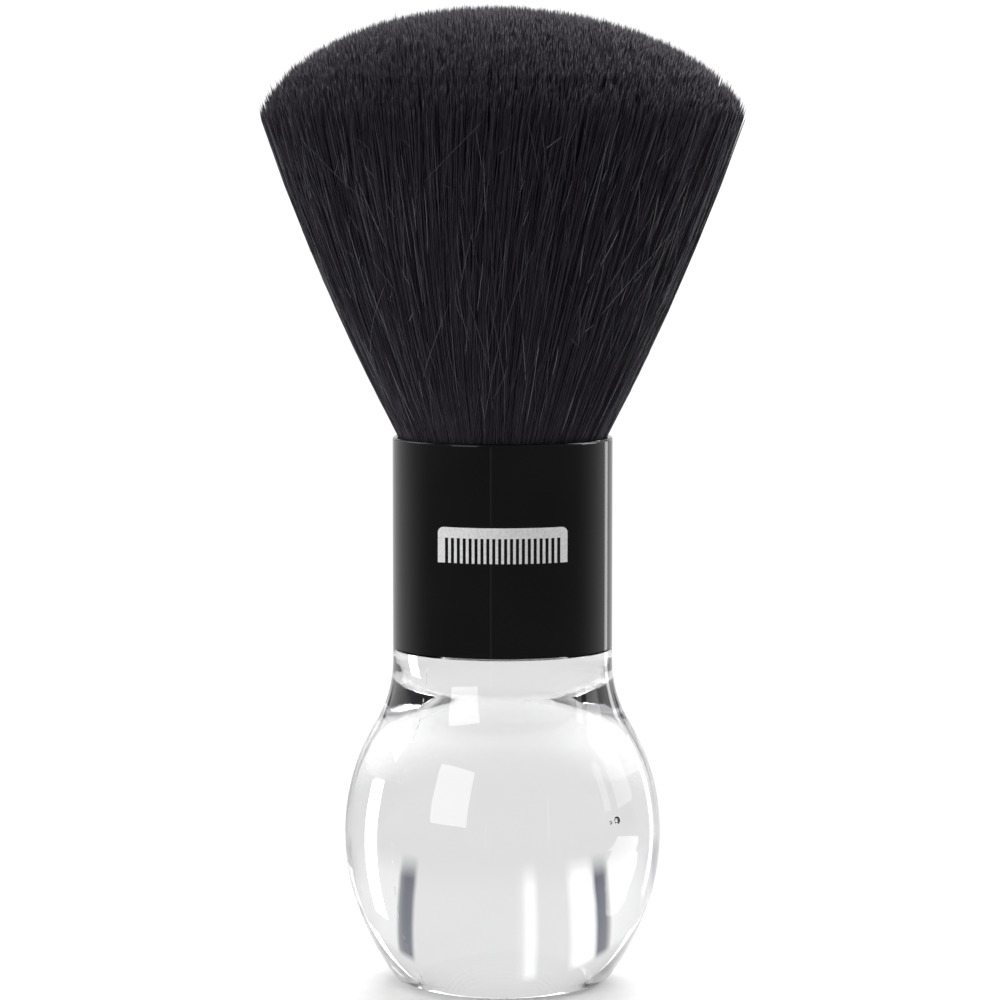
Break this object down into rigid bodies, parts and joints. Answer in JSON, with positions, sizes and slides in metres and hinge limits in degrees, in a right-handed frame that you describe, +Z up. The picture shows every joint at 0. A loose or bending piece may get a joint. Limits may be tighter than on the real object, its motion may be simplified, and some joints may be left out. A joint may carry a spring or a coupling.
{
  "type": "neck duster brush",
  "caption": "Hand-held neck duster: a solid clear knob handle, a short gloss black ferrule and a flared, dome-cut knot of black hair.",
  "frame": {"origin": "centre of the flat foot that the brush stands on", "axes": "+Z up along the brush's axis from the foot to the hair's domed end, +X to the right as the printed mark is read, -Y towards whoever reads the mark"},
  "size_m": [0.0742, 0.0742, 0.151],
  "materials": {
    "clear_acrylic": "polished",
    "black_gloss": "polished",
    "cured_adhesive": "satin",
    "cup_plastic": "satin",
    "set_resin": "gloss",
    "waxed_thread": "satin",
    "black_hair": "satin",
    "white_ink": "satin"
  },
  "bodies": {
    "root": {"handle": "clear_acrylic", "ferrule": "black_gloss", "ferrule_bond": "cured_adhesive", "knot_cup": "cup_plastic", "cup_bond": "cured_adhesive", "knot_resin": "set_resin", "binding_thread": "waxed_thread", "hair_knot": "black_hair", "printed_mark": "white_ink"}
  },
  "joints": []
}
